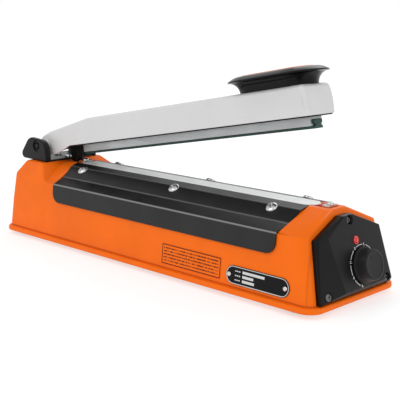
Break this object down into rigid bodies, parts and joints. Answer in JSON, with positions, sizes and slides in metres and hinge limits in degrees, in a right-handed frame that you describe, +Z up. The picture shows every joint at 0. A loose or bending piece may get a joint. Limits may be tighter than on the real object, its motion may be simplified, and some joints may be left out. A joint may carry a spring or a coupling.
{
  "type": "impulse heat sealer",
  "caption": "Hand-operated impulse heat sealer: a long base with a sealing strip, a sprung pressing arm with an oblong handle, and a timer dial on its end.",
  "frame": {"origin": "centre of the machine's bounding box at the underside of its feet", "axes": "+X along the sealing line towards the control panel, +Z up, the hinge lies at the -X end"},
  "size_m": [0.3086, 0.086, 0.1374],
  "materials": {
    "housing_moulding": "satin moulded orange",
    "black_sheet": "satin black powder coat",
    "black_moulding": "satin black moulding",
    "knob_moulding": "satin black moulding",
    "grey_moulding": "matt grey moulding",
    "arm_paint": "satin light grey enamel",
    "bar_aluminium": "satin mill finish",
    "zinc_sheet": "zinc plated",
    "bright_steel": "bright plated",
    "bush_nylon": "plain nylon",
    "core_steel": "laminated steel",
    "coil_varnish": "varnished winding tape",
    "board_laminate": "green solder mask",
    "silicone_rubber": "dark green silicone",
    "foot_rubber": "matt black rubber",
    "glass_cloth": "woven glass tape",
    "ptfe_film": "smooth off-white film",
    "ribbon_alloy": "bright resistance alloy",
    "red_sleeve": "matt red",
    "red_lens": "clear red lens",
    "orange_inlay": "satin orange",
    "plate_enamel": "black enamelled plate with a bright edge",
    "label_print": "printed film"
  },
  "bodies": {
    "base": {"housing": "housing_moulding", "bottom_plate": "zinc_sheet", "rubber_feet": "foot_rubber", "foot_screws": "bright_steel", "front_side_plate": "black_sheet", "rear_side_plate": "black_sheet", "front_plate_screws": "bright_steel", "rear_plate_screws": "bright_steel", "sealing_bar": "bar_aluminium", "insulation_strip": "glass_cloth", "heating_ribbon": "ribbon_alloy", "ptfe_cover": "ptfe_film", "ribbon_clamps": "bright_steel", "clamp_screws": "bright_steel", "clamp_sleeves": "red_sleeve", "hinge_bracket": "black_sheet", "bracket_screws": "bright_steel", "hinge_cap_front": "black_moulding", "hinge_cap_rear": "black_moulding", "hinge_pin": "bright_steel", "pin_clips": "bright_steel", "return_spring": "bright_steel", "end_cover": "black_moulding", "cover_screws": "bright_steel", "lamp_lens": "red_lens", "lamp_body": "grey_moulding", "timer_control": "zinc_sheet", "control_nut": "bright_steel", "timer_board": "board_laminate", "board_posts": "grey_moulding", "transformer_core": "core_steel", "transformer_coil": "coil_varnish", "transformer_screws": "bright_steel", "micro_switch": "black_moulding", "switch_screws": "bright_steel", "cord_gland": "black_moulding", "gland_nut": "black_moulding", "name_plate": "plate_enamel", "plate_rivets": "bright_steel", "instruction_label": "label_print"},
    "arm": {"arm_channel": "arm_paint", "arm_liner": "black_moulding", "hinge_bushes": "bush_nylon", "bar_brackets": "black_sheet", "bar_studs": "bright_steel", "pressing_bar": "bar_aluminium", "rubber_strip": "silicone_rubber", "switch_leg": "black_moulding", "handle": "black_moulding", "handle_inlay": "orange_inlay", "handle_screws": "bright_steel"},
    "dial": {"timer_knob": "knob_moulding", "knob_shaft": "bright_steel"},
    "switch_plunger": {"switch_button": "red_sleeve"}
  },
  "joints": [
    {"name": "arm_lift", "type": "hinge", "parent": "base", "child": "arm", "pos_m": [-0.13378, 0, 0.0675], "axis": [0, -1, 0], "range_deg": [-10.2, 12], "stiffness_Nm_per_rad": 2, "springref_deg": 10.89},
    {"name": "timer_dial", "type": "hinge", "parent": "base", "child": "dial", "pos_m": [0.14049, 0.0071, 0.0219], "axis": [0.9736, 0, 0.2284], "range_deg": [-135, 135]},
    {"name": "switch_press", "type": "slide", "parent": "base", "child": "switch_plunger", "axis": [0, 0, -1], "range_m": [0, 0.001], "stiffness_N_per_m": 150}
  ]
}
